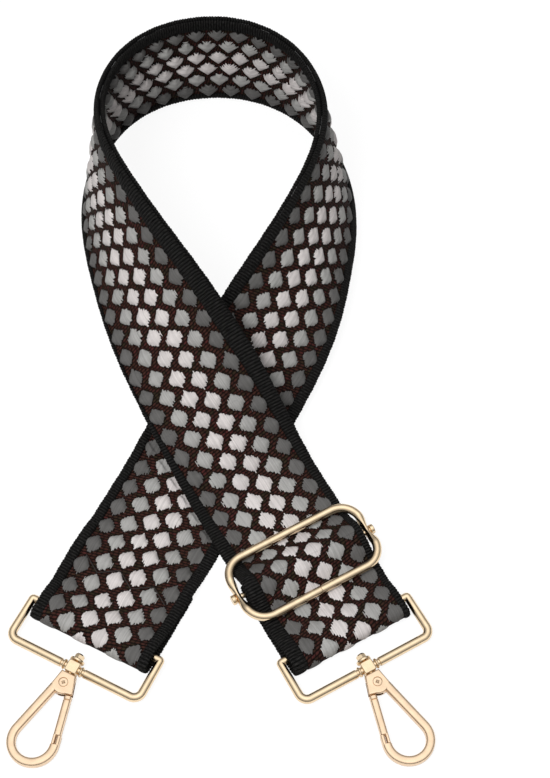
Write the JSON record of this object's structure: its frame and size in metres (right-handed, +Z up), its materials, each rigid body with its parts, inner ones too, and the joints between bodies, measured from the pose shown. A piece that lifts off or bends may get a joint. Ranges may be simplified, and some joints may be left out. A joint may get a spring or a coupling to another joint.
{
  "type": "detachable bag strap",
  "caption": "Wide patterned webbing bag strap with a sliding adjuster and a swivelling snap hook on a hinged ring at each end.",
  "frame": {"origin": "bottom centre of the bounding box, on the surface the strap lies on", "axes": "+Z up from that surface, +Y from the hooks towards the loop, +X towards the leg that carries the adjuster"},
  "size_m": [0.1552, 0.3014, 0.06],
  "materials": {
    "webbing": "jacquard woven webbing, grey scale pattern on a dark brown ground, black edges",
    "thread": "black polyester thread",
    "gold_wire": "polished pale gold plated wire",
    "gold_cast": "polished pale gold plated casting",
    "gold_turned": "polished pale gold plated rivet",
    "spring_steel": "bare spring wire"
  },
  "bodies": {
    "strap": {"webbing": "webbing", "webbing_slider_span": "webbing", "webbing_right_fold": "webbing", "webbing_return": "webbing", "left_end_stitching": "thread"},
    "slider": {"slider_frame": "gold_wire", "slider_bar": "gold_wire", "webbing_sewn_loop": "webbing", "return_stitching": "thread"},
    "left_ring": {"left_ring": "gold_wire"},
    "left_hook": {"left_hook_body": "gold_cast", "left_swivel_post": "gold_turned", "left_gate_pin": "gold_turned", "left_gate_spring": "spring_steel"},
    "left_gate": {"left_gate": "gold_cast"},
    "right_ring": {"right_ring": "gold_wire"},
    "right_hook": {"right_hook_body": "gold_cast", "right_swivel_post": "gold_turned", "right_gate_pin": "gold_turned", "right_gate_spring": "spring_steel"},
    "right_gate": {"right_gate": "gold_cast"}
  },
  "joints": [
    {"name": "slider_slide", "type": "slide", "parent": "strap", "child": "slider", "axis": [-0.4924, 0.8704, 0], "range_m": [-0.006, 0.016], "deforming": ["webbing_slider_span", "webbing_return"]},
    {"name": "left_ring_hinge", "type": "hinge", "parent": "strap", "child": "left_ring", "pos_m": [-0.04534, -0.09859, 0.004], "axis": [-0.887, 0.4617, 0], "range_deg": [-110, 110]},
    {"name": "left_hook_swivel", "type": "hinge", "parent": "left_ring", "child": "left_hook", "pos_m": [-0.05318, -0.11366, 0.00334], "axis": [-0.4614, -0.8863, -0.0387], "continuous": true},
    {"name": "left_gate_hinge", "type": "hinge", "parent": "left_hook", "child": "left_gate", "pos_m": [-0.05622, -0.11951, 0.00309], "axis": [0.0179, 0.0343, -0.9993], "range_deg": [0, 25], "stiffness_Nm_per_rad": 0.03, "springref_deg": -17.19, "deforming": ["left_gate_spring"]},
    {"name": "right_ring_hinge", "type": "hinge", "parent": "strap", "child": "right_ring", "pos_m": [0.0453, -0.09874, 0.004], "axis": [-0.8704, -0.4924, 0], "range_deg": [-110, 110]},
    {"name": "right_hook_swivel", "type": "hinge", "parent": "right_ring", "child": "right_hook", "pos_m": [0.05367, -0.11353, 0.00334], "axis": [0.4921, -0.8697, -0.0387], "continuous": true},
    {"name": "right_gate_hinge", "type": "hinge", "parent": "right_hook", "child": "right_gate", "pos_m": [0.05691, -0.11927, 0.00309], "axis": [0.019, -0.0337, 0.9993], "range_deg": [0, 25], "stiffness_Nm_per_rad": 0.03, "springref_deg": -17.19, "deforming": ["right_gate_spring"]}
  ]
}
